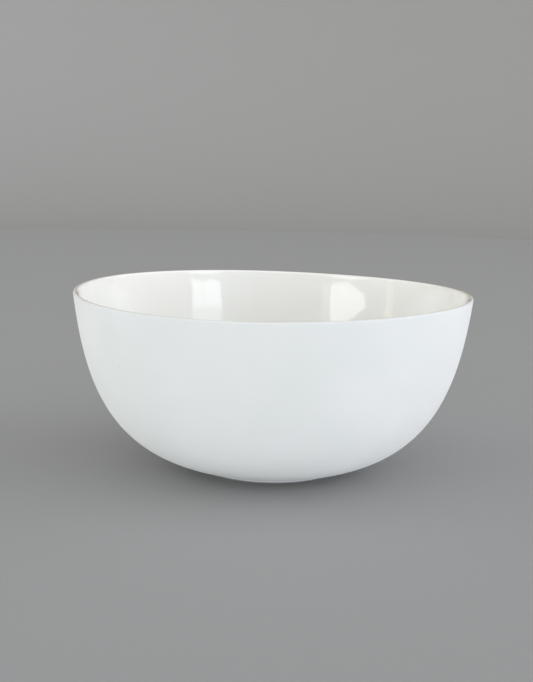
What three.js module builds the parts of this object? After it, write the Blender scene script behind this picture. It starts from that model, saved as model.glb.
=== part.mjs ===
// A round porcelain serving bowl on a low foot ring, in millimetres, +Z up.
// The origin is the middle of the foot ring's standing face.
//
// The bowl is layered as the ware is made. A fired porcelain body holds the
// wall, the lip and the floor. A foot ring is luted under it. A gloss coat
// lines the inside, a satin coat covers the outside and the foot's flank, and a
// third coat fills the recess under the base. The foot's standing face is bare.
//
// Every layer is a profile turned about Z. The finished surface is described
// first, as stations that each hold a point and the direction into the ware, and
// each layer's faces lie at their own depth behind those stations.
import * as THREE from 'three';

// Overall sizes
const rimDiameter = 230;      // outside, where the wall meets the lip
const bowlHeight = 103.2;     // standing face to the lip's crest, before firing warp

// Lip, wall and floor
const lipThickness = 2.4;     // across the finished lip
const wallAtFoot = 5.9;       // across the finished wall where it leaves the foot
const floorThickness = 3.3;   // from the recess to the inside floor, in the middle
const leanAtRim = 7.15;       // degrees that the wall leans outward below the lip
const innerFlare = 6;         // degrees that the inside rises over the foot
const outerRimPull = 0.464;   // fullness of the outer wall below the lip
const outerFootPull = 0.773;  // fullness of the outer wall beyond the foot
const innerRimPull = 0.46;    // fullness of the inner wall below the lip
const innerFootPull = 0.74;   // fullness of the inner wall beyond the foot
const floorFlatness = 0.36;   // how far the inside floor stays flat

// Foot
const footDiameter = 85.3;    // outside of the finished foot ring
const footHeight = 2.2;       // standing face to the groove under the wall
const footWidth = 5.4;        // across the finished foot ring
const flareAtFoot = 10.3;     // degrees that the wall rises as it leaves the foot
const bareHeight = 0.7;       // unglazed height above the standing face
const bareRound = 0.4;        // bevel along both edges of the standing face
const baseDome = 0.6;         // rise of the recess towards its middle
const recessRound = 0.9;      // radius where the recess turns down the foot ring

// Glaze
const glazeThickness = 0.35;
const bondClearance = 0.1;    // between a coat, or the luted ring, and what it lies on

// Firing warp: the lip rises and falls twice around the bowl
const rimWarp = 0.97;         // rise of the two high points above the mean lip
const warpBearing = -26.4;    // degrees from +X to one high point

// Facets
const turnSegments = 64;
const wallSegments = 11;
const floorSegments = 4;
const lipSegments = 3;        // on each side of the crest
const recessSegments = 3;

const rimRadius = rimDiameter / 2;
const lipRadius = lipThickness / 2;
const footRadius = footDiameter / 2;
const footInnerRadius = footRadius - footWidth;
const bodyDepth = glazeThickness + bondClearance;
const radians = THREE.MathUtils.degToRad;

// A point on the finished surface, with the direction that leads into the ware.
function station(r, z, inwardR, inwardZ) {
  return { r, z, inwardR, inwardZ };
}

function atDepth({ r, z, inwardR, inwardZ }, depth) {
  return new THREE.Vector2(r + inwardR * depth, z + inwardZ * depth);
}

// Where two faces meet, one direction carries both of them to the same depth.
function cornerStation(r, z, first, second) {
  const share = 1 + first.x * second.x + first.y * second.y;
  return station(r, z, (first.x + second.x) / share, (first.y + second.y) / share);
}

// Stations along a cubic curve that runs with the ware on its right.
function curveStations(start, startPull, endPull, end, segments) {
  const spread = (t, a, b, c, d) =>
    (1 - t) ** 3 * a + 3 * (1 - t) ** 2 * t * b + 3 * (1 - t) * t * t * c + t ** 3 * d;
  const slope = (t, a, b, c, d) =>
    (1 - t) ** 2 * (b - a) + 2 * (1 - t) * t * (c - b) + t * t * (d - c);
  const stations = [];
  for (let step = 0; step <= segments; step += 1) {
    const t = step / segments;
    const r = spread(t, start.x, startPull.x, endPull.x, end.x);
    const z = spread(t, start.y, startPull.y, endPull.y, end.y);
    const along = new THREE.Vector2(
      slope(t, start.x, startPull.x, endPull.x, end.x),
      slope(t, start.y, startPull.y, endPull.y, end.y),
    ).normalize();
    stations.push(station(r, z, along.y, -along.x));
  }
  return stations;
}

// Stations round an arc whose centre lies inside the ware, or outside it when hollow.
function arcStations(centre, radius, fromAngle, toAngle, segments, hollow = false) {
  const towards = hollow ? 1 : -1;
  const stations = [];
  for (let step = 0; step <= segments; step += 1) {
    const angle = THREE.MathUtils.lerp(fromAngle, toAngle, step / segments);
    const [cos, sin] = [Math.cos(angle), Math.sin(angle)];
    stations.push(station(
      centre.x + radius * cos, centre.y + radius * sin, towards * cos, towards * sin,
    ));
  }
  return stations;
}

const lean = radians(leanAtRim);
const flare = radians(flareAtFoot);
const acrossLip = new THREE.Vector2(Math.cos(lean), -Math.sin(lean));
const upWall = new THREE.Vector2(Math.sin(lean), Math.cos(lean));
const lipCentre = new THREE.Vector2(rimRadius, bowlHeight - lipRadius)
  .addScaledVector(acrossLip, -lipRadius);
const crest = Math.PI / 2;
const seam = bondClearance / (2 * (lipRadius - glazeThickness));

const intoFlank = new THREE.Vector2(-1, 0);
const intoWall = new THREE.Vector2(-Math.sin(flare), Math.cos(flare));
const groove = cornerStation(footRadius, footHeight, intoWall, intoFlank);
const flankFoot = station(footRadius, bareHeight, intoFlank.x, intoFlank.y);

// The body sits on the ring at the height where the groove's layers leave it.
const seatOuter = atDepth(groove, bodyDepth);
const seatHeight = seatOuter.y;
const ringTop = seatHeight - bondClearance;
const recessHeight = seatHeight - bodyDepth;

// The inside wall starts over the groove. The floor meets it with one slope and one
// curvature: a cubic's curvature at its end is two thirds of how far its second
// handle stands off the end's tangent, over the square of its first handle.
function insideCurves() {
  const start = new THREE.Vector2(groove.r, groove.z).addScaledVector(intoWall, wallAtFoot);
  const top = lipCentre.clone().addScaledVector(acrossLip, -lipRadius);
  const rise = radians(innerFlare);
  const along = new THREE.Vector2(Math.cos(rise), Math.sin(rise));
  const upward = new THREE.Vector2(-along.y, along.x);
  const wallReach = innerFootPull * (top.x - start.x);
  const footPull = start.clone().addScaledVector(along, wallReach);
  const rimPull = top.clone().addScaledVector(upWall, -innerRimPull * (top.y - start.y));
  const middle = new THREE.Vector2(0, recessHeight + baseDome + floorThickness);
  const middlePull = new THREE.Vector2(floorFlatness * start.x, middle.y);
  const wallStandOff = rimPull.clone().sub(start).dot(upward);
  const floorStandOff = middlePull.clone().sub(start).dot(upward);
  const floorReach = wallReach * Math.sqrt(floorStandOff / wallStandOff);
  const edgePull = start.clone().addScaledVector(along, -floorReach);
  return {
    floor: [middle, middlePull, edgePull, start],
    wall: [start, footPull, rimPull, top],
  };
}

// Inside, from the middle of the floor up to the lip's crest.
function insideWall() {
  const { floor, wall } = insideCurves();
  return [
    ...curveStations(...floor, floorSegments).slice(0, -1),
    ...curveStations(...wall, wallSegments),
  ];
}

function insideLip() {
  return arcStations(lipCentre, lipRadius, Math.PI - lean, crest + seam, lipSegments).slice(1);
}

// Outside, from the lip's crest down to the groove over the foot.
function outsideLip() {
  return arcStations(lipCentre, lipRadius, crest - seam, -lean, lipSegments).slice(0, -1);
}

function outsideWall() {
  const end = new THREE.Vector2(groove.r, groove.z);
  const top = lipCentre.clone().addScaledVector(acrossLip, lipRadius);
  const along = new THREE.Vector2(Math.cos(flare), Math.sin(flare));
  const footPull = end.clone().addScaledVector(along, outerFootPull * (top.x - end.x));
  const rimPull = top.clone().addScaledVector(upWall, -outerRimPull * (top.y - end.y));
  return curveStations(top, rimPull, footPull, end, wallSegments).slice(0, -1);
}

// The recess under the base, up the foot ring's inner flank and in to the middle.
const innerFlankFoot = station(footInnerRadius, bareHeight, 1, 0);
const seatInner = footInnerRadius + bodyDepth;

function recessCorner() {
  const centre = new THREE.Vector2(footInnerRadius - recessRound, recessHeight - recessRound);
  return arcStations(centre, recessRound, 0, crest, recessSegments, true);
}

function recessRoof() {
  const edge = new THREE.Vector2(footInnerRadius - recessRound, recessHeight);
  const middle = new THREE.Vector2(0, recessHeight + baseDome);
  const half = edge.x / 2;
  return curveStations(
    edge, new THREE.Vector2(half, edge.y), new THREE.Vector2(half, middle.y), middle,
    recessSegments,
  ).slice(1);
}

function porcelainBody() {
  return [
    ...[...insideWall(), ...insideLip(), ...outsideLip(), ...outsideWall()]
      .map((place) => atDepth(place, bodyDepth)),
    seatOuter,
    new THREE.Vector2(seatInner, seatHeight),
    ...recessRoof().map((place) => atDepth(place, bodyDepth)),
  ];
}

function footRing() {
  const outer = footRadius - bodyDepth;
  const inner = seatInner;
  return closed([
    new THREE.Vector2(outer, ringTop),
    new THREE.Vector2(outer, bareRound),
    new THREE.Vector2(outer - bareRound, 0),
    new THREE.Vector2(inner + bareRound, 0),
    new THREE.Vector2(inner, bareRound),
    new THREE.Vector2(inner, ringTop),
  ]);
}

// A coat lies between the finished surface and its own thickness behind it. Its
// profile starts on the axis where the coat reaches it.
function coat(stations) {
  const face = stations.map((place) => atDepth(place, 0));
  const back = stations.map((place) => atDepth(place, glazeThickness)).reverse();
  return stations[0].r === 0 ? [...face, ...back] : [...back, ...face];
}

const insideGlaze = () => coat([...insideWall(), ...insideLip()]);
const outsideGlaze = () => closed(coat([...outsideLip(), ...outsideWall(), groove, flankFoot]));
const baseGlaze = () => coat([innerFlankFoot, ...recessCorner(), ...recessRoof()]);

function closed(profile) {
  return [...profile, profile[0].clone()];
}

// Rises and falls with twice the bearing, and fades out towards the foot.
function applyFiringWarp(geometry) {
  const place = geometry.getAttribute('position');
  for (let index = 0; index < place.count; index += 1) {
    const bearing = Math.atan2(place.getY(index), place.getX(index));
    const fade = (place.getZ(index) / bowlHeight) ** 2;
    const lift = rimWarp * fade * Math.cos(2 * (bearing - radians(warpBearing)));
    place.setZ(index, place.getZ(index) + lift);
  }
}

// Profiles run with the ware on their right, and a lathe takes them the other way round.
function turned(name, profile, finish) {
  const geometry = new THREE.LatheGeometry(profile.reverse(), turnSegments);
  geometry.rotateX(Math.PI / 2);
  applyFiringWarp(geometry);
  geometry.computeVertexNormals();
  const mesh = new THREE.Mesh(geometry, new THREE.MeshStandardMaterial(finish));
  mesh.name = name;
  return mesh;
}

const biscuit = { color: 0xe9e4d9, roughness: 0.8, metalness: 0 };
const glossWhite = { color: 0xf1f1ec, roughness: 0.08, metalness: 0 };
const satinWhite = { color: 0xf2f4f5, roughness: 0.35, metalness: 0 };

const bowl = new THREE.Group();
bowl.add(turned('porcelain_body', porcelainBody(), biscuit));
bowl.add(turned('foot_ring', footRing(), biscuit));
bowl.add(turned('inside_glaze', insideGlaze(), glossWhite));
bowl.add(turned('outside_glaze', outsideGlaze(), satinWhite));
bowl.add(turned('base_glaze', baseGlaze(), satinWhite));

export default bowl;
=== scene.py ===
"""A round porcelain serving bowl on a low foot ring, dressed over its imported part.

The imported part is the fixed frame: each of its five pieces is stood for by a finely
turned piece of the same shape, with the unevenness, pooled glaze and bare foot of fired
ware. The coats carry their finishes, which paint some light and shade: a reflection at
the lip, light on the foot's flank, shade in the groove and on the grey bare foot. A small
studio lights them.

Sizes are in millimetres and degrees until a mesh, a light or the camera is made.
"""

import logging
import math
from dataclasses import dataclass, field
from enum import Enum
from typing import ClassVar

import bpy
import numpy as np
from mathutils import Matrix, Vector


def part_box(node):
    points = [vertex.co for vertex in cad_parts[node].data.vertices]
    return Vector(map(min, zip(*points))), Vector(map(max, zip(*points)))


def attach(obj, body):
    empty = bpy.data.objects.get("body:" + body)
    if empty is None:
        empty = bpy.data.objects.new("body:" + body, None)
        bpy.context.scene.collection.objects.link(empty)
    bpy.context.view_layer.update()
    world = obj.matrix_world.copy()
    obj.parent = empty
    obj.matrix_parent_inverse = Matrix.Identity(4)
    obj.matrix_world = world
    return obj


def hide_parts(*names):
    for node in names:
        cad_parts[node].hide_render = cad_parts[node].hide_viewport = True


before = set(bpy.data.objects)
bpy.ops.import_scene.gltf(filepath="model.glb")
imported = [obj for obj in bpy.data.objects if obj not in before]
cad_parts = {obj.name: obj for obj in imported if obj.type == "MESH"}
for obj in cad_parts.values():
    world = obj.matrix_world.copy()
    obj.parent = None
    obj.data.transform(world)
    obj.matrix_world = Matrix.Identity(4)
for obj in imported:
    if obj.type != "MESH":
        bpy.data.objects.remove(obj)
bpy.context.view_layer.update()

log = logging.getLogger("serving_bowl")

MM = 0.001
QUARTER = math.pi / 2
FULL_TURN = 2 * math.pi

SAME_PLACE = 1e-5
NEAR_AXIS = 1e-6
STATION_GAP = 0.02
FAR_OFF = 50.0
LEVEL = 0.999
CREASE = math.radians(48.0)

Pair = tuple[float, float]
Triple = tuple[float, float, float]
Rgb = Triple
Socket = bpy.types.NodeSocket
Fill = Socket | float | Triple


# The ware's shape


@dataclass(frozen=True)
class Course:
    """A run of finished surface in the plane of radius and height, with the ware on its right.

    Attributes:
        points: One row per station, its radius and its height.
        inward: One row per station, the direction from it into the ware.
    """

    points: np.ndarray
    inward: np.ndarray

    def at_depth(self, depth: float) -> "Course":
        """Return the same stations moved into the ware by depth."""
        return Course(self.points + self.inward * depth, self.inward)

    def part(self, keep: np.ndarray) -> "Course":
        """Return only the stations that keep marks."""
        return Course(self.points[keep], self.inward[keep])

    def without_last(self) -> "Course":
        """Return every station but the last."""
        return Course(self.points[:-1], self.inward[:-1])

    def closed_by(self, back: "Course") -> "Course":
        """Return the closed outline that runs along this face and home along the back."""
        return Course(np.vstack([self.points, back.points]), np.vstack([self.inward, back.inward]))

    def reversed(self) -> "Course":
        """Return the stations in the other order."""
        return Course(self.points[::-1], self.inward[::-1])

    def lengths(self) -> np.ndarray:
        """Return how far each station is along the course from its first one."""
        steps = np.linalg.norm(np.diff(self.points, axis=0), axis=1)
        return np.concatenate([[0.0], np.cumsum(steps)])


def joined(*courses: Course) -> Course:
    """Join courses end to end, and drop a station that repeats the one before it.

    Args:
        courses: The courses in the order that they run.

    Returns:
        One course with every remaining station.
    """
    points = np.vstack([course.points for course in courses])
    inward = np.vstack([course.inward for course in courses])
    apart = np.linalg.norm(np.diff(points, axis=0), axis=1) > SAME_PLACE
    keep = np.concatenate([[True], apart])
    return Course(points[keep], inward[keep])


def single(point: Pair, inward: Pair) -> Course:
    """Return a course of one station."""
    return Course(np.array([point], float), np.array([inward], float))


def curve(corners: list[np.ndarray], steps: int) -> Course:
    """Take stations along a cubic curve.

    Args:
        corners: The start, the two pulls and the end.
        steps: How many spans the curve is cut into.

    Returns:
        The course along the curve.
    """
    a, b, c, d = (np.asarray(corner, float) for corner in corners)
    t = np.linspace(0.0, 1.0, steps + 1)[:, None]
    s = 1.0 - t
    points = s**3 * a + 3 * s * s * t * b + 3 * s * t * t * c + t**3 * d
    along = s * s * (b - a) + 2 * s * t * (c - b) + t * t * (d - c)
    along /= np.linalg.norm(along, axis=1)[:, None]
    return Course(points, np.column_stack([along[:, 1], -along[:, 0]]))


def line(start: Pair | np.ndarray, end: Pair | np.ndarray, steps: int = 1) -> Course:
    """Take stations along a straight line.

    Args:
        start: The line's start.
        end: The line's end.
        steps: How many spans it is cut into.

    Returns:
        The course along the line.
    """
    start, end = np.asarray(start, float), np.asarray(end, float)
    third = (end - start) / 3
    return curve([start, start + third, end - third, end], steps)


def arc(centre: Pair | np.ndarray, radius: float, turn: Pair, steps: int,
        hollow: bool = False) -> Course:
    """Take stations round a circle's arc.

    Args:
        centre: The circle's centre.
        radius: The circle's radius.
        turn: The angles, in radians, that the arc starts and ends at.
        steps: How many spans the arc is cut into.
        hollow: True where the ware lies outside the circle.

    Returns:
        The course round the arc.
    """
    angle = np.linspace(turn[0], turn[1], steps + 1)
    out = np.column_stack([np.cos(angle), np.sin(angle)])
    return Course(np.asarray(centre, float) + radius * out, out if hollow else -out)


def direction(degrees: float) -> np.ndarray:
    """Return the unit vector at that angle above the outward direction."""
    return np.array([math.cos(math.radians(degrees)), math.sin(math.radians(degrees))])


def square_to(vector: np.ndarray) -> np.ndarray:
    """Return the vector turned a quarter to its left."""
    return np.array([-vector[1], vector[0]])


@dataclass(frozen=True)
class BowlForm:
    """The finished surface of the bowl and the layers behind it, in millimetres and degrees.

    The rim's and the foot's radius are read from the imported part. The other values are the
    ones that the part is turned from. A lean or a flare is an angle, and a pull is the share
    of a curve's reach at which its control point stands.
    """

    rim_radius: float
    foot_radius: float
    bowl_height: float = 103.2
    lip_thickness: float = 2.4
    wall_at_foot: float = 5.9
    floor_thickness: float = 3.3
    lean_at_rim: float = 7.15
    inner_flare: float = 6.0
    outer_rim_pull: float = 0.464
    outer_foot_pull: float = 0.773
    inner_rim_pull: float = 0.46
    inner_foot_pull: float = 0.74
    floor_flatness: float = 0.36
    foot_height: float = 2.2
    foot_width: float = 5.4
    flare_at_foot: float = 10.3
    bare_height: float = 0.7
    bare_round: float = 0.4
    base_dome: float = 0.6
    recess_round: float = 0.9
    glaze_thickness: float = 0.35
    bond_clearance: float = 0.1
    pool_round: float = 0.22
    rim_warp: float = 0.97
    warp_bearing: float = -26.4
    wall_steps: int = 84
    floor_steps: int = 26
    lip_steps: int = 10
    corner_steps: int = 8

    @property
    def body_depth(self) -> float:
        """How far the fired body lies behind the finished surface."""
        return self.glaze_thickness + self.bond_clearance

    @property
    def lip_radius(self) -> float:
        """The radius of the rounded lip."""
        return self.lip_thickness / 2

    @property
    def foot_inner_radius(self) -> float:
        """The radius of the finished foot ring's inner flank."""
        return self.foot_radius - self.foot_width

    @property
    def groove(self) -> np.ndarray:
        """Where the wall meets the foot's outer flank."""
        return np.array([self.foot_radius, self.foot_height])

    @property
    def seat_height(self) -> float:
        """The height at which the body sits on the foot ring."""
        return float(self.groove_corner().at_depth(self.body_depth).points[0, 1])

    @property
    def recess_height(self) -> float:
        """The height of the recess's edge, above the standing face."""
        return self.seat_height - self.body_depth

    @property
    def lip_centre(self) -> np.ndarray:
        """The middle of the lip's rounding."""
        edge = np.array([self.rim_radius, self.bowl_height - self.lip_radius])
        return edge - direction(-self.lean_at_rim) * self.lip_radius

    def groove_corner(self) -> Course:
        """Give the sharp corner behind the pooled glaze one direction for both of its faces.

        Returns:
            The corner, as a course of one station.
        """
        into_wall, into_flank = square_to(direction(self.flare_at_foot)), np.array([-1.0, 0.0])
        share = (into_wall + into_flank) / (1 + into_wall @ into_flank)
        return single(tuple(self.groove), tuple(share))

    def inside_wall(self) -> Course:
        """Run from the middle of the inside floor to the lip, with one slope and curvature.

        Returns:
            The inside's course.
        """
        across, up = direction(-self.lean_at_rim), direction(90 - self.lean_at_rim)
        start = self.groove + square_to(direction(self.flare_at_foot)) * self.wall_at_foot
        top = self.lip_centre - across * self.lip_radius
        along = direction(self.inner_flare)
        reach = self.inner_foot_pull * (top[0] - start[0])
        rim_pull = top - up * self.inner_rim_pull * (top[1] - start[1])
        middle = np.array([0.0, self.recess_height + self.base_dome + self.floor_thickness])
        middle_pull = np.array([self.floor_flatness * start[0], middle[1]])
        stand_off = [(pull - start) @ square_to(along) for pull in (middle_pull, rim_pull)]
        back = reach * math.sqrt(stand_off[0] / stand_off[1])
        return joined(
            curve([middle, middle_pull, start - along * back, start], self.floor_steps),
            curve([start, start + along * reach, rim_pull, top], self.wall_steps),
        )

    def lip(self, start: float, end: float, steps: int) -> Course:
        """Return the lip's rounding between two angles, in radians above the outward direction."""
        return arc(self.lip_centre, self.lip_radius, (start, end), steps)

    def inside_lip(self) -> Course:
        """Return the lip's rounding, from the inside wall to the crest."""
        return self.lip(math.pi - math.radians(self.lean_at_rim), QUARTER, self.lip_steps)

    def outside_lip(self) -> Course:
        """Return the lip's rounding, from the crest to the outside wall."""
        return self.lip(QUARTER, -math.radians(self.lean_at_rim), self.lip_steps)

    def outside_wall(self) -> Course:
        """Run from the lip down the outside to the groove over the foot.

        Returns:
            The outside's course.
        """
        across, up = direction(-self.lean_at_rim), direction(90 - self.lean_at_rim)
        top = self.lip_centre + across * self.lip_radius
        foot_pull = direction(self.flare_at_foot) * self.outer_foot_pull * (top[0] - self.foot_radius)
        rim_pull = top - up * self.outer_rim_pull * (top[1] - self.foot_height)
        return curve([top, rim_pull, self.groove + foot_pull, self.groove], self.wall_steps)

    def pooled_groove(self) -> Course:
        """Run round the glaze's fillet in the groove, from the wall to the foot's flank.

        Returns:
            The fillet's course.
        """
        wall, flank = direction(self.flare_at_foot), np.array([0.0, -1.0])
        half = math.acos(float(wall @ flank)) / 2
        bisector = (wall + flank) / np.linalg.norm(wall + flank)
        centre = self.groove + bisector * self.pool_round / math.sin(half)
        turn = (QUARTER + math.radians(self.flare_at_foot), math.pi)
        return arc(centre, self.pool_round, turn, self.corner_steps, hollow=True)

    def recess(self) -> Course:
        """Run up the foot's inner flank, round its corner and in to the middle of the base.

        Returns:
            The recess's course.
        """
        corner = np.array([self.foot_inner_radius - self.recess_round,
                           self.recess_height - self.recess_round])
        edge = np.array([corner[0], self.recess_height])
        middle = np.array([0.0, self.recess_height + self.base_dome])
        half = edge[0] / 2
        low = np.array([self.foot_inner_radius, self.bare_height + self.glaze_thickness])
        return joined(
            line(low, np.array([low[0], corner[1]]), 2),
            arc(corner, self.recess_round, (0.0, QUARTER), self.corner_steps, hollow=True),
            curve([edge, np.array([half, edge[1]]), np.array([half, middle[1]]), middle],
                  self.floor_steps),
        )

    def warped(self, places: np.ndarray) -> np.ndarray:
        """Raise and lower points as the rim was in firing.

        Args:
            places: Points round the bowl, one row each, in millimetres.

        Returns:
            The points with their new heights.
        """
        bearing = np.arctan2(places[:, 1], places[:, 0]) - math.radians(self.warp_bearing)
        fade = (places[:, 2] / self.bowl_height) ** 2
        moved = places.copy()
        moved[:, 2] += self.rim_warp * fade * np.cos(2 * bearing)
        return moved


@dataclass(frozen=True)
class FiredRelief:
    """Gentle unevenness from shaping and firing, as a sum of seeded plane waves in space.

    The waves fill space, so layers that touch are uneven together and stay apart.

    Attributes:
        height: How far the surface stands proud, as a standard deviation.
        shortest: The shortest wave.
        longest: The longest wave.
        waves: How many waves are added up.
        seed: The seed of their headings and lengths.
    """

    height: float = 0.016
    shortest: float = 22.0
    longest: float = 85.0
    waves: int = 26
    seed: int = 41

    def at(self, places: np.ndarray) -> np.ndarray:
        """Add up the waves at each place.

        Args:
            places: Points in space, one row each, in millimetres.

        Returns:
            How far the surface stands proud at each point, in millimetres.
        """
        draw = np.random.default_rng(self.seed)
        total = np.zeros(len(places))
        for _ in range(self.waves):
            heading = draw.normal(size=3)
            heading /= np.linalg.norm(heading)
            pitch = FULL_TURN / draw.uniform(self.shortest, self.longest)
            total += np.sin(places @ heading * pitch + draw.uniform(0, FULL_TURN))
        return total * self.height / math.sqrt(self.waves / 2)


@dataclass(frozen=True)
class Outline:
    """A closed outline that is turned round the bowl's axis, with the ware on its right.

    Attributes:
        course: Every station; those of a layer's back keep the face's inward directions.
        marks: Named values at each station, which the finishes read.
    """

    course: Course
    marks: dict[str, np.ndarray] = field(default_factory=dict)


def turned(name: str, outline: Outline, form: BowlForm, relief: FiredRelief,
           turns: int) -> bpy.types.Object:
    """Turn an outline round the bowl's axis.

    Args:
        name: The new piece's name.
        outline: The closed outline.
        form: The bowl's form, for its firing warp.
        relief: The unevenness of the surface.
        turns: How many spans go round the axis.

    Returns:
        The new mesh object, in metres.
    """
    course = outline.course
    poles = course.points[:, 0] < NEAR_AXIS
    counts = np.where(poles, 1, turns)
    starts = np.concatenate([[0], np.cumsum(counts)[:-1]])
    bearings = np.arange(turns) * FULL_TURN / turns
    rows = np.repeat(np.arange(len(counts)), counts)
    spin = np.concatenate([bearings[:count] for count in counts])
    swing = np.column_stack([np.cos(spin), np.sin(spin)])
    points, inward = course.points[rows], course.inward[rows]
    places = np.column_stack([swing * points[:, :1], points[:, 1]])
    outward = -np.column_stack([swing * inward[:, :1], inward[:, 1]])
    glazed_height = places[:, 2:] > form.bare_height
    places += outward * relief.at(places)[:, None] * glazed_height
    places = form.warped(places) * MM

    faces: list[tuple[int, ...]] = []
    step = np.arange(turns)
    after = (step + 1) % turns
    for row, next_row in zip(range(len(counts)), [*range(1, len(counts)), 0]):
        here, there = starts[row], starts[next_row]
        if poles[row] and poles[next_row]:
            continue
        if poles[row]:
            corners = [np.full(turns, here), there + step, there + after]
        elif poles[next_row]:
            corners = [here + step, np.full(turns, there), here + after]
        else:
            corners = [here + step, there + step, there + after, here + after]
        faces.extend(map(tuple, np.column_stack(corners).tolist()))

    mesh = bpy.data.meshes.new(name)
    mesh.from_pydata(places.tolist(), [], faces)
    for mark, values in outline.marks.items():
        layer = mesh.attributes.new(mark, "FLOAT", "POINT")
        layer.data.foreach_set("value", values[rows].astype(np.float32))
    mesh.shade_smooth()
    mesh.set_sharp_from_angle(angle=CREASE)
    mesh.validate()
    piece = bpy.data.objects.new(name, mesh)
    bpy.context.scene.collection.objects.link(piece)
    return piece


# Nodes that the finishes share


class Mark(Enum):
    """Values that the pieces' meshes carry for the finishes, by attribute name."""

    CREST = "crest_distance"
    POOL_AND_SHADE = "pooled_glaze_and_shade"
    EDGE = "bare_edge_distance"
    FLANK_LIGHT = "painted_flank_light"


@dataclass(frozen=True)
class Bench:
    """Lays nodes in one node tree and joins them."""

    tree: bpy.types.NodeTree

    def fill(self, socket: Socket, value: Fill) -> None:
        """Join an input to another node's output, or give it a constant.

        Args:
            socket: The input.
            value: The output or the constant.
        """
        if isinstance(value, bpy.types.NodeSocket):
            self.tree.links.new(value, socket)
        elif socket.type == "RGBA":
            socket.default_value = (*value, 1.0)
        else:
            socket.default_value = value

    def node(self, kind: str, fills: dict[str | int, Fill] | None = None,
             **settings: object) -> bpy.types.Node:
        """Add a node.

        Args:
            kind: The node's type name.
            fills: A constant or a joined socket for each of the inputs that need one.
            settings: The node's own settings, by name.

        Returns:
            The new node.
        """
        made = self.tree.nodes.new(kind)
        for name, value in settings.items():
            setattr(made, name, value)
        for key, value in (fills or {}).items():
            self.fill(made.inputs[key], value)
        return made

    def sum(self, kind: str, first: Fill, second: Fill, clamp: bool = False) -> Socket:
        """Return the result of a sum on two values, such as ADD or MULTIPLY."""
        made = self.node("ShaderNodeMath", {0: first, 1: second}, operation=kind, use_clamp=clamp)
        return made.outputs[0]

    def between(self, value: Socket, low: float, high: float) -> Socket:
        """Return a smooth mask that is 0 at low and 1 at high."""
        fills = {"Value": value, "From Min": low, "From Max": high}
        return self.node("ShaderNodeMapRange", fills, interpolation_type="SMOOTHSTEP").outputs[0]

    def blend(self, share: Fill, first: Fill, second: Fill) -> Socket:
        """Blend two colours.

        Args:
            share: How much of the second colour shows, from 0 to 1.
            first: The first colour.
            second: The second colour.

        Returns:
            The blended colour.
        """
        made = self.node("ShaderNodeMix", data_type="RGBA")
        for key, value in (("Factor_Float", share), ("A_Color", first), ("B_Color", second)):
            self.fill(next(s for s in made.inputs if s.identifier == key), value)
        return next(s for s in made.outputs if s.identifier == "Result_Color")

    def place(self) -> Socket:
        """Return the position on the piece, in metres."""
        return self.node("ShaderNodeTexCoord").outputs["Object"]

    def noise(self, scale: Fill, detail: float = 2.0, place: Socket | None = None) -> Socket:
        """Return a smooth noise of that many cells a metre."""
        fills = {"Vector": place or self.place(), "Scale": scale, "Detail": detail}
        return self.node("ShaderNodeTexNoise", fills).outputs[0]

    def mark(self, mark: Mark) -> Socket:
        """Return the value that the mesh carries under that mark's name."""
        return self.node("ShaderNodeAttribute", attribute_name=mark.value).outputs["Fac"]

    def bump(self, height: Socket, strength: float, distance: float,
             over: Socket | None = None) -> Socket:
        """Bump a surface.

        Args:
            height: The bump's height, from 0 to 1.
            strength: How strongly it shows.
            distance: What a height of 1 stands for, in metres.
            over: The surface's direction before the bump, where it isn't the mesh's own.

        Returns:
            The bumped surface's direction.
        """
        fills = {"Height": height, "Strength": strength, "Distance": distance}
        if over is not None:
            fills["Normal"] = over
        return self.node("ShaderNodeBump", fills).outputs[0]


class SharedEffect:
    """A node group that is built once and placed in each material with its own values."""

    name: ClassVar[str]
    inputs: ClassVar[tuple[tuple[str, str], ...]]
    outputs: ClassVar[tuple[tuple[str, str], ...]]

    def lay(self, bench: Bench, given: dict[str, Socket]) -> dict[str, Socket]:
        """Lay the group's nodes.

        Args:
            bench: The bench of the group's own tree.
            given: The group's inputs, by label.

        Returns:
            A socket for each output, by label.
        """
        raise NotImplementedError

    def tree(self) -> bpy.types.NodeTree:
        """Find the group's tree, or build it the first time.

        Returns:
            The tree.
        """
        found = bpy.data.node_groups.get(self.name)
        if found is not None:
            return found
        made = bpy.data.node_groups.new(self.name, "ShaderNodeTree")
        for way, sockets in (("INPUT", self.inputs), ("OUTPUT", self.outputs)):
            for label, kind in sockets:
                made.interface.new_socket(name=label, in_out=way, socket_type=kind)
        bench = Bench(made)
        given = bench.node("NodeGroupInput").outputs
        results = self.lay(bench, {label: given[label] for label, _ in self.inputs})
        bench.node("NodeGroupOutput", results)
        return made

    def place(self, bench: Bench, fills: dict[str, Fill]) -> bpy.types.Node:
        """Place the group in a material, with these values."""
        return bench.node("ShaderNodeGroup", fills, node_tree=self.tree())


NUMBER, COLOUR = "NodeSocketFloat", "NodeSocketColor"


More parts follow.
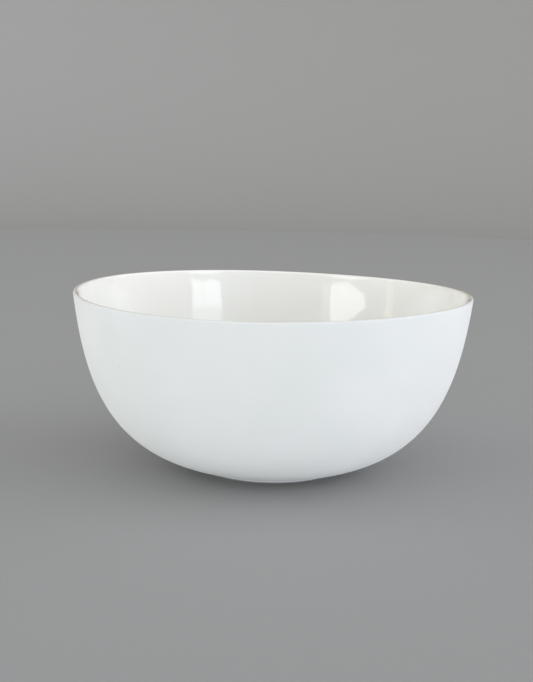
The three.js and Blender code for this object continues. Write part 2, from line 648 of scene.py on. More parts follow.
class GlazeTone(SharedEffect):
    """Glaze colour that clouds faintly and deepens where it pools, with painted shade in the outside
    groove, a painted reflection at the lip and painted light on the foot's flank.
    """

    name = "glaze_tone"
    inputs = (("Glaze", COLOUR), ("Cloud", COLOUR), ("Lip reflection", COLOUR), ("Pool and shade colour", COLOUR), ("Foot", COLOUR),
              ("Cloud scale", NUMBER), ("Reflection band mask", NUMBER), ("Deep glaze and shade mask", NUMBER), ("Foot mask", NUMBER))
    outputs = (("Color", COLOUR),)
    cloud_detail: ClassVar[float] = 3.0
    cloud_range: ClassVar[Pair] = (0.36, 0.68)

    def lay(self, bench: Bench, given: dict[str, Socket]) -> dict[str, Socket]:
        """Lay clouds, then the foot's painted light, the pooled glaze with its painted shade and the lip's
        painted reflection over them.

        Args:
            bench: The bench of the group's own tree.
            given: The group's inputs, by label.

        Returns:
            The group's output, by label.
        """
        clouds = bench.between(bench.noise(given["Cloud scale"], self.cloud_detail), *self.cloud_range)
        tone = bench.blend(clouds, given["Glaze"], given["Cloud"])
        tone = bench.blend(given["Foot mask"], tone, given["Foot"])
        tone = bench.blend(given["Deep glaze and shade mask"], tone, given["Pool and shade colour"])
        return {"Color": bench.blend(given["Reflection band mask"], tone, given["Lip reflection"])}


class KilnSpecks(SharedEffect):
    """Sparse small specks, as iron in the clay leaves under a glaze."""

    name = "kiln_specks"
    inputs = (("Scale", NUMBER), ("Share", NUMBER), ("Size", NUMBER))
    outputs = (("Mask", NUMBER),)
    soft_edge: ClassVar[float] = 0.35

    def lay(self, bench: Bench, given: dict[str, Socket]) -> dict[str, Socket]:
        """Keep a share of the cells, and mark a small spot at the middle of each.

        Args:
            bench: The bench of the group's own tree.
            given: The group's inputs, by label.

        Returns:
            The group's output, by label.
        """
        cells = bench.node("ShaderNodeTexVoronoi", {"Vector": bench.place(), "Scale": given["Scale"]})
        apart = bench.node("ShaderNodeSeparateColor", {"Color": cells.outputs["Color"]})
        kept = bench.sum("LESS_THAN", apart.outputs[0], given["Share"])
        own_size = bench.sum("MULTIPLY", apart.outputs[1], given["Size"])
        inside = bench.sum("SUBTRACT", own_size, cells.outputs["Distance"])
        edge = bench.sum("DIVIDE", inside, given["Size"])
        spot = bench.between(edge, 0.0, self.soft_edge)
        return {"Mask": bench.sum("MULTIPLY", kept, spot)}


class FiredSkin(SharedEffect):
    """The height of a fired glaze: slow waves with a fine peel over them."""

    name = "fired_skin"
    inputs = (("Wave scale", NUMBER), ("Peel scale", NUMBER), ("Peel share", NUMBER))
    outputs = (("Height", NUMBER),)

    def lay(self, bench: Bench, given: dict[str, Socket]) -> dict[str, Socket]:
        """Lay the waves, and add the peel's share.

        Args:
            bench: The bench of the group's own tree.
            given: The group's inputs, by label.

        Returns:
            The group's output, by label.
        """
        waves = bench.noise(given["Wave scale"], 1.0)
        peel = bench.noise(given["Peel scale"], 1.0)
        return {"Height": bench.sum("ADD", waves, bench.sum("MULTIPLY", peel, given["Peel share"]))}


class TurningRings(SharedEffect):
    """Fine uneven rings round the bowl's axis, as turning and grinding leave."""

    name = "turning_rings"
    inputs = (("Rings", NUMBER), ("Wander", NUMBER))
    outputs = (("Height", NUMBER),)
    drift_scale: ClassVar[float] = 14.0
    ring_detail: ClassVar[float] = 3.0

    def lay(self, bench: Bench, given: dict[str, Socket]) -> dict[str, Socket]:
        """Measure the radius, let it wander a little, and take noise along it alone.

        Args:
            bench: The bench of the group's own tree.
            given: The group's inputs, by label.

        Returns:
            The group's output, by label.
        """
        place = bench.place()
        flat = bench.node("ShaderNodeVectorMath", {0: place, 1: (1.0, 1.0, 0.0)}, operation="MULTIPLY")
        reach = bench.node("ShaderNodeVectorMath", {0: flat.outputs[0]}, operation="LENGTH")
        drift = bench.sum("MULTIPLY", bench.noise(self.drift_scale, 1.0), given["Wander"])
        radius = bench.sum("ADD", reach.outputs["Value"], drift)
        fills = {"W": bench.sum("MULTIPLY", radius, given["Rings"]), "Scale": 1.0,
                 "Detail": self.ring_detail}
        return {"Height": bench.node("ShaderNodeTexNoise", fills, noise_dimensions="1D").outputs[0]}


# The finishes


def new_material(name: str) -> Bench:
    """Make a new, empty material.

    Args:
        name: The material's name.

    Returns:
        A bench on its node tree.
    """
    material = bpy.data.materials.new(name)
    material.use_nodes = True
    material.node_tree.nodes.clear()
    return Bench(material.node_tree)


def finished(bench: Bench, fills: dict[str, Fill]) -> None:
    """Give the material its surface shader with these values."""
    shader = bench.node("ShaderNodeBsdfPrincipled", fills)
    bench.node("ShaderNodeOutputMaterial", {"Surface": shader.outputs[0]})


@dataclass(frozen=True)
class GlazeFinish:
    """A clear glaze over white porcelain.

    Attributes:
        name: The material's name.
        glaze: The glaze's own colour.
        cloud: The colour that it clouds towards.
        lip_reflection_tint: The tan of a painted reflection beside the lip's crest, for the dark, warm
            room that the rounded lip mirrors.
        pool: Its colour where it is deep; the outside coat's dark pool colour also paints the shade in the
            groove.
        reflection_band_from: Distance below the crest where the painted reflection's band starts, negative
            inside.
        reflection_band_to: Distance where the painted reflection's band ends.
        reflection_band_strength: How strongly the painted reflection shows.
        rough: The roughness of the glaze, before its faint changes.
        rough_change: How much the roughness changes.
        coat: Weight of the clear top of the glaze.
        coat_rough: Roughness of the clear top.
        wave_scale: Cells a metre of the skin's slow waves.
        wave_height: Height of the skin, in metres.
        peel_scale: Cells a metre of the skin's fine peel.
        peel_share: Height of the peel against the waves.
        speck_share: Share of speck cells that hold a speck.
        rings: Turning rings a metre under the glaze, or 0.
        foot: Its colour on the foot's flank, a paler glaze that paints the light falling on the flank.
        speck: The specks' colour.
        speck_strength: How strongly the specks show.
    """

    name: str
    glaze: Rgb
    cloud: Rgb
    lip_reflection_tint: Rgb
    pool: Rgb
    reflection_band_from: float = -0.5
    reflection_band_to: float = 0.55
    reflection_band_strength: float = 0.0
    rough: float = 0.06
    rough_change: float = 0.02
    coat: float = 1.0
    coat_rough: float = 0.03
    wave_scale: float = 90.0
    wave_height: float = 0.00006
    peel_scale: float = 420.0
    peel_share: float = 0.12
    speck_share: float = 0.02
    rings: float = 0.0
    # Painted light: the foot's flank is paler and bluer than the wall's glaze, for the front light that
    # falls on it.
    foot: Rgb = (0.86, 0.90, 0.95)
    speck: Rgb = (0.30, 0.24, 0.17)
    speck_strength: float = 0.22
    ior: ClassVar[float] = 1.5
    cloud_scale: ClassVar[float] = 22.0
    rough_scale: ClassVar[float] = 45.0
    speck_scale: ClassVar[float] = 150.0
    speck_size: ClassVar[float] = 0.16
    band_scale: ClassVar[float] = 60.0
    band_wander: ClassVar[float] = 0.5
    band_edge_inside: ClassVar[float] = 0.25
    band_edge_outside: ClassVar[float] = 0.15
    ring_wander: ClassVar[float] = 0.0006
    ring_strength: ClassVar[float] = 0.6
    ring_height: ClassVar[float] = 0.0001

    def reflection_band_mask(self, bench: Bench) -> Socket:
        """Mask the band beside the crest where the lip's reflection is painted.

        Args:
            bench: The material's bench.

        Returns:
            The band's mask.
        """
        inside, outside = self.band_edge_inside, self.band_edge_outside
        wander = bench.sum("MULTIPLY", bench.noise(self.band_scale), self.band_wander)
        shift = bench.sum("SUBTRACT", wander, self.band_wander / 2)
        along = bench.sum("ADD", bench.mark(Mark.CREST), shift)
        rising = bench.between(along, self.reflection_band_from - inside, self.reflection_band_from + inside)
        falling = bench.between(along, self.reflection_band_to + outside, self.reflection_band_to - outside)
        band = bench.sum("MULTIPLY", rising, falling)
        return bench.sum("MULTIPLY", band, self.reflection_band_strength)

    def colour(self, bench: Bench) -> Socket:
        """Lay the glaze's tones and its specks.

        Args:
            bench: The material's bench.

        Returns:
            The glaze's colour.
        """
        tone = GlazeTone().place(bench, {
            "Glaze": self.glaze, "Cloud": self.cloud, "Lip reflection": self.lip_reflection_tint, "Pool and shade colour": self.pool,
            "Cloud scale": self.cloud_scale, "Reflection band mask": self.reflection_band_mask(bench),
            "Deep glaze and shade mask": bench.mark(Mark.POOL_AND_SHADE), "Foot": self.foot, "Foot mask": bench.mark(Mark.FLANK_LIGHT),
        })
        specks = KilnSpecks().place(bench, {
            "Scale": self.speck_scale, "Share": self.speck_share, "Size": self.speck_size,
        })
        strength = bench.sum("MULTIPLY", specks.outputs["Mask"], self.speck_strength)
        return bench.blend(strength, tone.outputs["Color"], self.speck)

    def normal(self, bench: Bench) -> Socket:
        """Bump the surface by its skin and by any rings under it.

        Args:
            bench: The material's bench.

        Returns:
            The surface's direction.
        """
        skin = FiredSkin().place(bench, {
            "Wave scale": self.wave_scale, "Peel scale": self.peel_scale,
            "Peel share": self.peel_share,
        })
        bumped = bench.bump(skin.outputs["Height"], 1.0, self.wave_height)
        if not self.rings:
            return bumped
        turning = TurningRings().place(bench, {"Rings": self.rings, "Wander": self.ring_wander})
        return bench.bump(turning.outputs["Height"], self.ring_strength, self.ring_height, bumped)

    def material(self) -> bpy.types.Material:
        """Lay the finish's nodes in a new material.

        Returns:
            The material.
        """
        bench = new_material(self.name)
        change = bench.sum("MULTIPLY", bench.noise(self.rough_scale, 3.0), self.rough_change)
        normal = self.normal(bench)
        finished(bench, {
            "Base Color": self.colour(bench), "Roughness": bench.sum("ADD", change, self.rough),
            "Normal": normal, "IOR": self.ior, "Coat Weight": self.coat,
            "Coat Roughness": self.coat_rough, "Coat Normal": normal,
        })
        return bpy.data.materials[self.name]


@dataclass(frozen=True)
class BareFinish:
    """Unglazed fired porcelain, ground where it stands and toasted beside the glaze, and greyed as painted
    shade for the dark line where the foot stands.

    Attributes:
        name: The material's name.
        body: The fired body's colour, a grey darkened to paint the shade at the foot's standing edge.
        cloud: The colour that it clouds towards.
        toast: Its colour beside the glaze's edge.
        speck: The specks' colour.
        rough: Its roughness, before the rings change it.
        rings: Turning rings a metre.
    """

    name: str = "bare_porcelain"
    # Painted shade: the bare porcelain is a mid grey, far darker than fired white porcelain, so the
    # standing edge reads as the shadow line under the foot.
    body: Rgb = (0.46, 0.455, 0.445)
    cloud: Rgb = (0.38, 0.375, 0.365)
    toast: Rgb = (0.30, 0.27, 0.23)
    speck: Rgb = (0.25, 0.19, 0.13)
    rough: float = 0.70
    rings: float = 2600.0
    cloud_scale: ClassVar[float] = 120.0
    cloud_detail: ClassVar[float] = 4.0
    cloud_range: ClassVar[Pair] = (0.3, 0.7)
    toast_reach: ClassVar[float] = 0.45
    toast_strength: ClassVar[float] = 0.35
    speck_fills: ClassVar[dict[str, float]] = {"Scale": 420.0, "Share": 0.1, "Size": 0.22}
    speck_strength: ClassVar[float] = 0.5
    ring_wander: ClassVar[float] = 0.0002
    ring_rough: ClassVar[float] = 0.15
    grain_scale: ClassVar[float] = 5200.0
    grain_share: ClassVar[float] = 0.6
    bump_strength: ClassVar[float] = 0.5
    bump_height: ClassVar[float] = 0.00012

    def material(self) -> bpy.types.Material:
        """Lay the finish's nodes in a new material.

        Returns:
            The material.
        """
        bench = new_material(self.name)
        clouds = bench.between(bench.noise(self.cloud_scale, self.cloud_detail), *self.cloud_range)
        base = bench.blend(clouds, self.body, self.cloud)
        toast = bench.between(bench.mark(Mark.EDGE), self.toast_reach, 0.0)
        base = bench.blend(bench.sum("MULTIPLY", toast, self.toast_strength), base, self.toast)
        specks = KilnSpecks().place(bench, self.speck_fills)
        spotted = bench.sum("MULTIPLY", specks.outputs["Mask"], self.speck_strength)
        base = bench.blend(spotted, base, self.speck)
        turning = TurningRings().place(bench, {"Rings": self.rings, "Wander": self.ring_wander})
        ridges = turning.outputs["Height"]
        grain = bench.sum("MULTIPLY", bench.noise(self.grain_scale), self.grain_share)
        height = bench.sum("ADD", ridges, grain)
        normal = bench.bump(height, self.bump_strength, self.bump_height)
        rough = bench.sum("ADD", bench.sum("MULTIPLY", ridges, self.ring_rough), self.rough)
        finished(bench, {"Base Color": base, "Roughness": rough, "Normal": normal})
        return bpy.data.materials[self.name]


# The pieces


@dataclass
class TurnedPiece:
    """One layer of the bowl.

    Attributes:
        form: The bowl's form.
        finish: The layer's finish.
        relief: The unevenness that it shares with the other layers.
        turns: How many spans go round the axis.
    """

    form: BowlForm
    finish: GlazeFinish | BareFinish
    relief: FiredRelief
    turns: int = 288
    piece: bpy.types.Object | None = None

    name: ClassVar[str]
    node: ClassVar[str]
    slot: ClassVar[str]

    def outline(self) -> Outline:
        """Return the layer's closed outline."""
        raise NotImplementedError

    def build(self) -> None:
        """Turn the layer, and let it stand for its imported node."""
        self.piece = turned(self.name, self.outline(), self.form, self.relief, self.turns)
        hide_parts(self.node)
        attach(self.piece, "root")

    def dress(self) -> None:
        """Give the layer its finish."""
        self.piece.data.materials.append(self.finish.material())

    def report(self) -> None:
        """Log the layer's size and face count."""
        size = ", ".join(f"{side / MM:.1f}" for side in self.piece.dimensions)
        log.info("%s: %s mm, %d faces", self.name, size, len(self.piece.data.polygons))

    def pooled(self, course: Course, spots: list[np.ndarray], reach: float) -> np.ndarray:
        """Return how deep the glaze lies at each station, from 0, by its distance to the spots."""
        gaps = [np.linalg.norm(course.points - spot, axis=1) for spot in spots]
        return np.exp(-((np.min(gaps, axis=0) / reach) ** 2))


class PorcelainBody(TurnedPiece):
    """The fired body: the wall, the lip and the floor, behind the coats."""

    name, node, slot = "fired_body", "porcelain_body", "fired_porcelain"

    def outline(self) -> Outline:
        """Run from the inside floor over the lip to the seat of the foot and the recess.

        Returns:
            The closed outline, with the marks that the finish reads.
        """
        form = self.form
        seat = form.seat_height
        face = joined(form.inside_wall(), form.inside_lip(), form.outside_lip(), form.outside_wall())
        wall = face.at_depth(form.body_depth).without_last()
        seat_outer = form.groove_corner().at_depth(form.body_depth)
        seat_inner = single((form.foot_inner_radius + form.body_depth, seat), (0.0, 1.0))
        recess = form.recess()
        facing_up = recess.inward[:, 1] > LEVEL
        roof = recess.part(facing_up).at_depth(form.body_depth)
        whole = joined(wall, seat_outer, seat_inner, roof)
        return Outline(whole, {Mark.EDGE.value: np.full(len(whole.points), FAR_OFF)})


class FootRing(TurnedPiece):
    """The ring luted under the body, bare where the bowl stands."""

    name, node, slot = "standing_ring", "foot_ring", "fired_porcelain"
    flank_steps: ClassVar[int] = 6
    standing_steps: ClassVar[int] = 10

    def outline(self) -> Outline:
        """Run round the ring, with both edges of its standing face rounded.

        Returns:
            The closed outline, with the marks that the finish reads.
        """
        form = self.form
        outer = form.foot_radius - form.body_depth
        inner = form.foot_inner_radius + form.body_depth
        top, edge = form.seat_height - form.bond_clearance, form.bare_round
        whole = joined(
            line((outer, top), (outer, form.bare_height), self.flank_steps),
            arc((outer - form.bare_height, form.bare_height), form.bare_height, (0.0, -QUARTER),
                form.corner_steps),
            line((outer - form.bare_height, 0.0), (inner + edge, 0.0), self.standing_steps),
            arc((inner + edge, edge), edge, (-QUARTER, -math.pi), form.corner_steps),
            line((inner, edge), (inner, top), self.flank_steps),
        )
        return Outline(whole, {Mark.EDGE.value: np.abs(form.bare_height - whole.points[:, 1])})


class InsideCoat(TurnedPiece):
    """The gloss coat inside, from the middle of the floor to the lip's crest."""

    name, node, slot = "inside_gloss_coat", "inside_glaze", "gloss_glaze"

    def outline(self) -> Outline:
        """Run along the coat's face, and home along its back.

        Returns:
            The closed outline, with the marks that the finish reads.
        """
        face = joined(self.form.inside_wall(), self.form.inside_lip())
        back = face.at_depth(self.form.glaze_thickness).reversed()
        below = face.lengths() - face.lengths()[-1]
        none = np.zeros(len(face.points))
        marks = {Mark.CREST.value: below, Mark.POOL_AND_SHADE.value: none}
        both = {name: np.concatenate([mark, mark[::-1]]) for name, mark in marks.items()}
        return Outline(face.closed_by(back), both)


class OutsideCoat(TurnedPiece):
    """The satin coat outside, from the lip's crest over the foot's flank to its bare edge."""

    name, node, slot = "outside_satin_coat", "outside_glaze", "satin_glaze"
    # How far the dark groove tone reaches: pooled glaze, and painted shade in the groove.
    pool_reach: ClassVar[float] = 0.55
    foot_gap: ClassVar[float] = 0.1
    flank_steps: ClassVar[int] = 4

    def outline(self) -> Outline:
        """Run down the coat's face, with glaze pooled in the groove and a rounded edge.

        Returns:
            The closed outline, with the marks that the finish reads.
        """
        form = self.form
        thick, radius = form.glaze_thickness, form.foot_radius
        above = joined(form.outside_lip(), form.outside_wall())
        pool = form.pooled_groove()
        wall = above.part(above.points[:, 0] > pool.points[0, 0] + STATION_GAP)
        flank = line(pool.points[-1], (radius, form.bare_height + thick), self.flank_steps)
        bead = arc((radius - thick, form.bare_height + thick), thick, (0.0, -QUARTER), form.corner_steps)
        face = joined(wall, pool, flank, bead)
        back = joined(
            above.without_last().at_depth(thick),
            form.groove_corner().at_depth(thick),
            single((radius - thick, form.bare_height + STATION_GAP), (-1.0, 0.0)),
        ).reversed()
        whole = face.closed_by(back)
        below = np.concatenate([face.lengths(), np.full(len(back.points), FAR_OFF)])
        # Painted shade: the pooled mark darkens the groove with the satin coat's dark pool colour.
        pooled = self.pooled(whole, [form.groove], self.pool_reach)
        # Painted light: the foot's flank below the groove takes a paler glaze for the light falling on it.
        low = whole.points[:, 1] < form.foot_height - self.foot_gap
        lit_flank = low & (whole.points[:, 0] < radius + self.foot_gap / 2)
        return Outline(whole, {Mark.CREST.value: below, Mark.POOL_AND_SHADE.value: pooled,
                               Mark.FLANK_LIGHT.value: lit_flank.astype(float)})


class BaseCoat(TurnedPiece):
    """The satin coat in the recess under the base and down the foot's inner flank."""

    name, node, slot = "base_satin_coat", "base_glaze", "satin_glaze"
    pool_reach: ClassVar[float] = 1.1

    def outline(self) -> Outline:
        """Run up from the coat's rounded edge, above the standing face, into the recess.

        Returns:
            The closed outline, with the marks that the finish reads.
        """
        form = self.form
        thick, radius = form.glaze_thickness, form.foot_inner_radius
        bead = arc((radius + thick, form.bare_height + thick), thick, (-QUARTER, -math.pi),
                   form.corner_steps)
        recess = form.recess()
        face = joined(bead, recess)
        back = joined(single((radius + thick, form.bare_height + STATION_GAP), (1.0, 0.0)),
                      recess.at_depth(thick)).reversed()
        whole = face.closed_by(back)
        corner = np.array([radius, form.recess_height])
        return Outline(whole, {Mark.CREST.value: np.full(len(whole.points), FAR_OFF),
                               Mark.POOL_AND_SHADE.value: self.pooled(whole, [corner], self.pool_reach)})


@dataclass
class ServingBowl:
    """The whole bowl: its form, its layers and their finishes."""

    form: BowlForm
    relief: FiredRelief = field(default_factory=FiredRelief)

    def layers(self) -> list[TurnedPiece]:
        """Give each layer its finish.

        Returns:
            The layers, in the order that they are made.
        """
        # Painted reflection: both coats take a tan band beside the crest for the dark, warm room that the
        # rounded lip mirrors.
        lip = {"lip_reflection_tint": (0.60, 0.52, 0.42), "reflection_band_strength": 0.6}
        matt = {"rough_change": 0.06, "coat": 0.0, "wave_scale": 70.0, "wave_height": 0.00005}
        gloss = GlazeFinish("gloss_white_glaze", glaze=(0.84, 0.84, 0.82), cloud=(0.82, 0.82, 0.79),
                            pool=(0.66, 0.70, 0.70), wave_height=0.00008, **lip)
        # The satin coat's dark pool colour is partly pooled glaze and partly painted shade in the groove.
        satin = GlazeFinish("satin_white_glaze", glaze=(0.69, 0.707, 0.716),
                            cloud=(0.665, 0.687, 0.692), pool=(0.24, 0.28, 0.31), rough=0.33,
                            **lip, **matt)
        base = GlazeFinish("satin_base_glaze", glaze=(0.82, 0.84, 0.845), cloud=(0.78, 0.80, 0.80),
                           lip_reflection_tint=(0.70, 0.66, 0.58), pool=(0.56, 0.60, 0.61), rough=0.34,
                           rings=420.0, **matt)
        return [
            PorcelainBody(self.form, BareFinish("porcelain_under_glaze"), self.relief),
            FootRing(self.form, BareFinish(), self.relief),
            InsideCoat(self.form, gloss, self.relief),
            OutsideCoat(self.form, satin, self.relief),
            BaseCoat(self.form, base, self.relief),
        ]

    def make(self) -> None:
        """Build, dress and report every layer."""
        for layer in self.layers():
            layer.build()
            layer.dress()
            layer.report()


# The studio


def band(bearings: tuple[float, ...], low: float, high: float) -> tuple[Pair, ...]:
    """Return the corners of a pane that follows the horizon between two elevations."""
    return (*((bearing, low) for bearing in bearings),
            *((bearing, high) for bearing in reversed(bearings)))


def facing(azimuth: float, elevation: float) -> Vector:
    """Return the direction at that bearing from the viewer's side and that height, in degrees."""
    turn, rise = math.radians(azimuth), math.radians(elevation)
    return Vector((math.sin(turn) * math.cos(rise), -math.cos(turn) * math.cos(rise), math.sin(rise)))


@dataclass(frozen=True)
class Window:
    """A soft rectangular light that faces the bowl.

    Attributes:
        name: The light's name.
        azimuth: Its bearing, in degrees from the viewer's side towards +X.
        elevation: Its height above the horizon, in degrees.
        distance, width, height: Its distance from the bowl and its size, in metres.
        power: Its power, in watts.
        colour: Its colour.
    """

    name: str
    azimuth: float
    elevation: float
    distance: float
    width: float
    height: float
    power: float
    colour: Rgb = (1.0, 1.0, 1.0)
    aim: ClassVar[Vector] = Vector((0.0, 0.0, 0.08))

    def build(self) -> None:
        """Hang the light."""
        lamp = bpy.data.lights.new(self.name, "AREA")
        lamp.shape = "RECTANGLE"
        lamp.size, lamp.size_y = self.width, self.height
        lamp.energy, lamp.color = self.power, self.colour
        lamp_object = bpy.data.objects.new(self.name, lamp)
        away = facing(self.azimuth, self.elevation)
        lamp_object.location = away * self.distance + self.aim
        lamp_object.rotation_euler = away.to_track_quat("Z", "Y").to_euler()
        lamp_object.visible_camera = False
        bpy.context.scene.collection.objects.link(lamp_object)


@dataclass(frozen=True)
class GlowPanel:
    """A glowing pane whose outline is given as the inside wall mirrors it.

    Attributes:
        name: The pane's name.
        corners: Azimuth and elevation of each corner in degrees, as seen from the inside wall.
        glow: How brightly it glows.
        colour: Its colour.
        streaks: How much it is streaked or curled, as a curtain or a view through glass is.
        cells: How many streaks it has a metre, along each axis.
        curl: How strongly the streaks curl.
        mirrored: True where the glaze mirrors it, False for a soft bounce alone.
    """

    name: str
    corners: tuple[Pair, ...]
    glow: float
    colour: Rgb = (1.0, 1.0, 1.0)
    streaks: float = 0.0
    cells: Triple = (9.0, 9.0, 1.2)
    curl: float = 0.0
    mirrored: bool = True
    wall_place: ClassVar[Vector] = Vector((0.0, 0.1, 0.09))
    distance: ClassVar[float] = 2.0
    streak_depth: ClassVar[float] = 3.0

    def outline(self) -> list[Vector]:
        """Return the pane's corners in space, in metres."""
        return [self.wall_place + facing(azimuth, elevation) * self.distance
                for azimuth, elevation in self.corners]

    def build(self) -> None:
        """Hang the pane, which isn't part of the bowl and which the camera doesn't see."""
        mesh = bpy.data.meshes.new(self.name)
        places = self.outline()
        mesh.from_pydata([tuple(place) for place in places], [], [tuple(range(len(places)))])
        bench = new_material(self.name)
        stretched = bench.node("ShaderNodeMapping", {"Vector": bench.place(), "Scale": self.cells})
        fills = {"Vector": stretched.outputs[0], "Scale": 1.0, "Detail": 3.0, "Distortion": self.curl}
        folds = bench.node("ShaderNodeTexNoise", fills).outputs[0]
        uneven = bench.sum("MULTIPLY", bench.sum("SUBTRACT", folds, 0.5), self.streaks * self.streak_depth)
        strength = bench.sum("MULTIPLY", bench.sum("ADD", uneven, 1.0), self.glow)
        glowing = bench.node("ShaderNodeEmission", {"Color": self.colour, "Strength": strength})
        bench.node("ShaderNodeOutputMaterial", {"Surface": glowing.outputs[0]})
        mesh.materials.append(bpy.data.materials[self.name])
        pane = bpy.data.objects.new(self.name, mesh)
        pane.visible_camera = False
        pane.visible_glossy = self.mirrored
        bpy.context.scene.collection.objects.link(pane)


@dataclass(frozen=True)
class SkyGlow:
    """A broad soft glow in the sky round the studio.

    Attributes:
        azimuth: Its bearing, in degrees from the viewer's side towards +X.
        elevation: Its height above the horizon, in degrees.
        focus: How narrow it is; a glow of 0 fills the whole sky.
        glow: How brightly it glows.
        colour: Its colour.
    """

    azimuth: float
    elevation: float
    focus: float
    glow: float
    colour: Rgb = (1.0, 1.0, 1.0)

    def lay(self, bench: Bench, heading: Socket) -> Socket:
        """Lay the glow's nodes.

        Args:
            bench: The bench of the sky's tree.
            heading: The direction in the sky.

        Returns:
            The glow's light in that direction, as a colour.
        """
        aim = tuple(facing(self.azimuth, self.elevation))
        nodes = bench.node("ShaderNodeVectorMath", {0: heading, 1: aim}, operation="DOT_PRODUCT")
        facing_it = bench.sum("MAXIMUM", nodes.outputs["Value"], 0.0)
        share = bench.sum("POWER", facing_it, self.focus) if self.focus else 1.0
        strength = bench.sum("MULTIPLY", share, self.glow)
        fills = {0: self.colour, "Scale": strength}
        return bench.node("ShaderNodeVectorMath", fills, operation="SCALE").outputs[0]


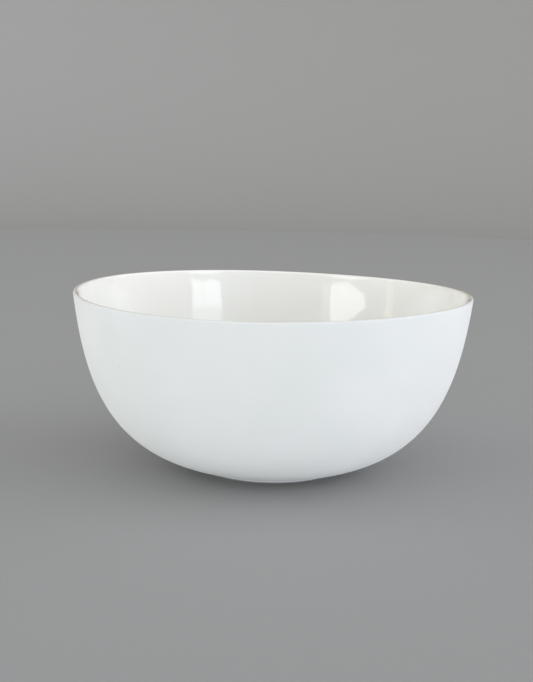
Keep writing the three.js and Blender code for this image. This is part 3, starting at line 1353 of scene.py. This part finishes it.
@dataclass(frozen=True)
class Studio:
    """A floor that sweeps up all round, soft lights, a sky of glows and the camera.

    The bowl is lit by the floor's bounce colour and mirrors the backdrop's mirrored colour.
    The camera sees the other two. Lengths are in metres, and the camera's angles in radians.
    """

    floor_radius: float = 2.3
    sweep_radius: float = 0.5
    wall_height: float = 1.3
    sheet_turns: int = 96
    sweep_steps: int = 16
    floor_rings: Pair = (0.6, 0.001)
    floor_colour: Rgb = (0.30, 0.30, 0.303)
    floor_bounce: Rgb = (0.80, 0.80, 0.80)
    backdrop_colour: Rgb = (0.29, 0.285, 0.28)
    backdrop_mirrored: Rgb = (0.34, 0.30, 0.25)
    lens: float = 63.03
    camera_place: Triple = (-0.00327, -0.690, 0.1913)
    camera_pitch: float = 0.1684
    camera_roll: float = 0.0213
    camera_sees: Pair = (0.01, 20.0)
    sensor_width: float = 36.0
    paper_rough: float = 0.9
    windows: tuple[Window, ...] = (
        Window("overhead", 0.0, 82.0, 1.9, 1.6, 1.6, 5.2),
    )
    panels: tuple[GlowPanel, ...] = (
        GlowPanel("window_right", ((53.5, 7.9), (33.2, 9.0), (34.0, 15.0), (54.3, 13.8)), 2.5,
                  (0.924, 0.956, 1.0), 0.12),
        GlowPanel("window_right_upper", ((54.3, 13.8), (34.0, 15.0), (35.0, 30.0), (55.5, 30.0)), 1.5,
                  (0.96, 0.98, 1.0), 0.18),
        GlowPanel("softbox_left", ((-37.0, 8.9), (-47.0, 8.3), (-53.0, 8.3), (-57.5, 8.6),
                                   (-61.0, 9.4), (-62.6, 10.6), (-62.4, 12.0), (-60.0, 13.9),
                                   (-55.5, 16.2), (-50.2, 18.3), (-45.0, 19.8), (-39.7, 20.6),
                                   (-37.8, 13.6)), 2.6, (1.0, 0.993, 0.977), 0.4,
                  (11.0, 11.0, 20.0), 1.5),
        GlowPanel("softbox_left_edge", ((-31.0, 9.3), (-37.0, 8.9), (-37.8, 13.6), (-39.7, 20.6),
                                        (-33.6, 20.9), (-31.9, 14.1)), 0.85, (1.0, 1.0, 0.99), 0.2),
        GlowPanel("warm_strip_left", ((-77.5, 6.3), (-79.2, 6.2), (-82.0, 12.2), (-79.8, 12.5)), 2.0,
                  (1.0, 0.84, 0.56), 0.35),
        GlowPanel("warm_strip_left_outer", ((-80.6, 6.2), (-81.8, 6.0), (-84.6, 11.6), (-83.0, 12.0)),
                  1.8, (1.0, 0.84, 0.56), 0.35),
        GlowPanel("bounce_left", band((-55.0, -75.0, -95.0, -115.0), -2.3, 3.5), 4.5,
                  (0.99, 1.0, 0.97), mirrored=False),
        GlowPanel("bounce_right", band((115.0, 95.0, 75.0, 55.0), -2.3, 3.5), 3.5,
                  (0.95, 0.95, 1.0), mirrored=False),
        GlowPanel("ledge_left", ((-62.0, 6.75), (-76.7, 6.0), (-76.7, 6.3), (-62.0, 7.1)), 1.5),
        GlowPanel("ledge_upper", ((-21.0, 19.5), (-31.0, 17.7), (-31.0, 18.1), (-21.0, 19.8)), 1.2),
        GlowPanel("glint_right", ((104.0, 4.6), (112.0, 4.0), (112.0, 5.4), (104.0, 6.2)), 2.2,
                  (1.0, 1.0, 1.0), 0.9),
    )
    glows: tuple[SkyGlow, ...] = (
        SkyGlow(0.0, 90.0, 0.0, 0.41, (0.984, 1.0, 0.985)),
        SkyGlow(0.0, 90.0, 2.0, 0.12),
        SkyGlow(0.0, 7.0, 14.0, 3.19, (0.953, 0.992, 1.0)),
        SkyGlow(-60.0, 22.0, 5.0, 0.10, (1.0, 1.0, 0.99)),
        SkyGlow(60.0, 22.0, 5.0, 0.77, (0.919, 0.928, 1.0)),
        SkyGlow(-95.0, 10.0, 7.0, 1.6, (1.0, 1.0, 0.93)),
        SkyGlow(95.0, 10.0, 7.0, 2.4, (0.936, 0.939, 1.0)),
    )

    def paper(self, name: str, lit: Rgb, seen: Rgb) -> bpy.types.Material:
        """Make a plain paper.

        Args:
            name: The material's name.
            lit: Its colour as it lights the bowl.
            seen: Its colour to the camera.

        Returns:
            The material.
        """
        bench = new_material(name)
        by_camera = bench.node("ShaderNodeLightPath").outputs["Is Camera Ray"]
        finished(bench, {"Base Color": bench.blend(by_camera, lit, seen), "Roughness": self.paper_rough})
        return bpy.data.materials[name]

    def spun(self, name: str, course: list[Pair], paper: bpy.types.Material) -> bpy.types.Object:
        """Turn one plain sheet of the studio round the axis.

        Args:
            name: The sheet's name.
            course: Its radius and height at each station.
            paper: Its material.

        Returns:
            The new object, which isn't part of the bowl.
        """
        turns = self.sheet_turns
        bearings = np.arange(turns) * FULL_TURN / turns
        places = [(r * math.cos(b), r * math.sin(b), z) for r, z in course for b in bearings]
        faces = [(i * turns + j, i * turns + (j + 1) % turns, (i + 1) * turns + (j + 1) % turns,
                  (i + 1) * turns + j) for i in range(len(course) - 1) for j in range(turns)]
        mesh = bpy.data.meshes.new(name)
        mesh.from_pydata(places, [], faces)
        mesh.shade_smooth()
        mesh.materials.append(paper)
        sheet = bpy.data.objects.new(name, mesh)
        bpy.context.scene.collection.objects.link(sheet)
        return sheet

    def build_floor(self) -> None:
        """Lay the floor, which lights the bowl as a paler one than the camera sees."""
        paper = self.paper("studio_floor_paper", self.floor_bounce, self.floor_colour)
        rings = [(radius, 0.0) for radius in (self.floor_radius, *self.floor_rings)]
        self.spun("studio_floor", rings, paper)

    def build_sweep(self) -> None:
        """Raise the backdrop all round, which the glaze mirrors and which blocks no soft light."""
        paper = self.paper("studio_backdrop_paper", self.backdrop_mirrored, self.backdrop_colour)
        edge, sweep = self.floor_radius, self.sweep_radius
        course = joined(line((edge, self.wall_height), (edge, sweep), 2),
                        arc((edge - sweep, sweep), sweep, (0.0, -QUARTER), self.sweep_steps))
        sheet = self.spun("studio_backdrop", course.points.tolist(), paper)
        sheet.visible_diffuse = sheet.visible_shadow = False

    def build_sky(self) -> None:
        """Lay the sky's soft glows over each other."""
        world = bpy.data.worlds.new("studio_sky")
        world.use_nodes = True
        world.node_tree.nodes.clear()
        bench = Bench(world.node_tree)
        heading = bench.node("ShaderNodeTexCoord").outputs["Generated"]
        total = self.glows[0].lay(bench, heading)
        for glow in self.glows[1:]:
            both = {0: total, 1: glow.lay(bench, heading)}
            total = bench.node("ShaderNodeVectorMath", both, operation="ADD").outputs[0]
        shining = bench.node("ShaderNodeBackground", {"Color": total})
        bench.node("ShaderNodeOutputWorld", {"Surface": shining.outputs[0]})
        bpy.context.scene.world = world

    def build_camera(self) -> None:
        """Place the camera at its height, looking a little down and turned a little on its axis."""
        cos_p, sin_p = math.cos(self.camera_pitch), math.sin(self.camera_pitch)
        cos_r, sin_r = math.cos(self.camera_roll), math.sin(self.camera_roll)
        right, up, back = Vector((1, 0, 0)), Vector((0, sin_p, cos_p)), Vector((0, -cos_p, sin_p))
        x_axis, y_axis = right * cos_r + up * sin_r, up * cos_r - right * sin_r
        camera = bpy.data.cameras.new("studio_camera")
        camera.lens, camera.sensor_width = self.lens, self.sensor_width
        camera.clip_start, camera.clip_end = self.camera_sees
        camera_object = bpy.data.objects.new("studio_camera", camera)
        turn = Matrix((x_axis, y_axis, back)).transposed().to_4x4()
        camera_object.matrix_world = Matrix.Translation(Vector(self.camera_place)) @ turn
        bpy.context.scene.collection.objects.link(camera_object)
        bpy.context.scene.camera = camera_object

    def make(self) -> None:
        """Build the floor, the sky, the lights and the camera."""
        self.build_floor()
        self.build_sweep()
        self.build_sky()
        self.build_camera()
        for light in (*self.windows, *self.panels):
            light.build()
        bpy.context.scene.view_settings.view_transform = "Standard"
        log.info("studio: %d lights", len(self.windows) + len(self.panels))


def measured_form() -> BowlForm:
    """Read the rim's and the foot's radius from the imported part.

    Returns:
        The bowl's form.
    """
    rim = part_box("outside_glaze")[1].x / MM
    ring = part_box("foot_ring")[1].x / MM
    layer = BowlForm.glaze_thickness + BowlForm.bond_clearance
    return BowlForm(rim_radius=rim, foot_radius=ring + layer)


def main() -> None:
    """Make the studio and the bowl."""
    logging.basicConfig(level=logging.INFO, format="%(name)s %(message)s")
    Studio().make()
    ServingBowl(measured_form()).make()


if __name__ == "__main__":
    main()
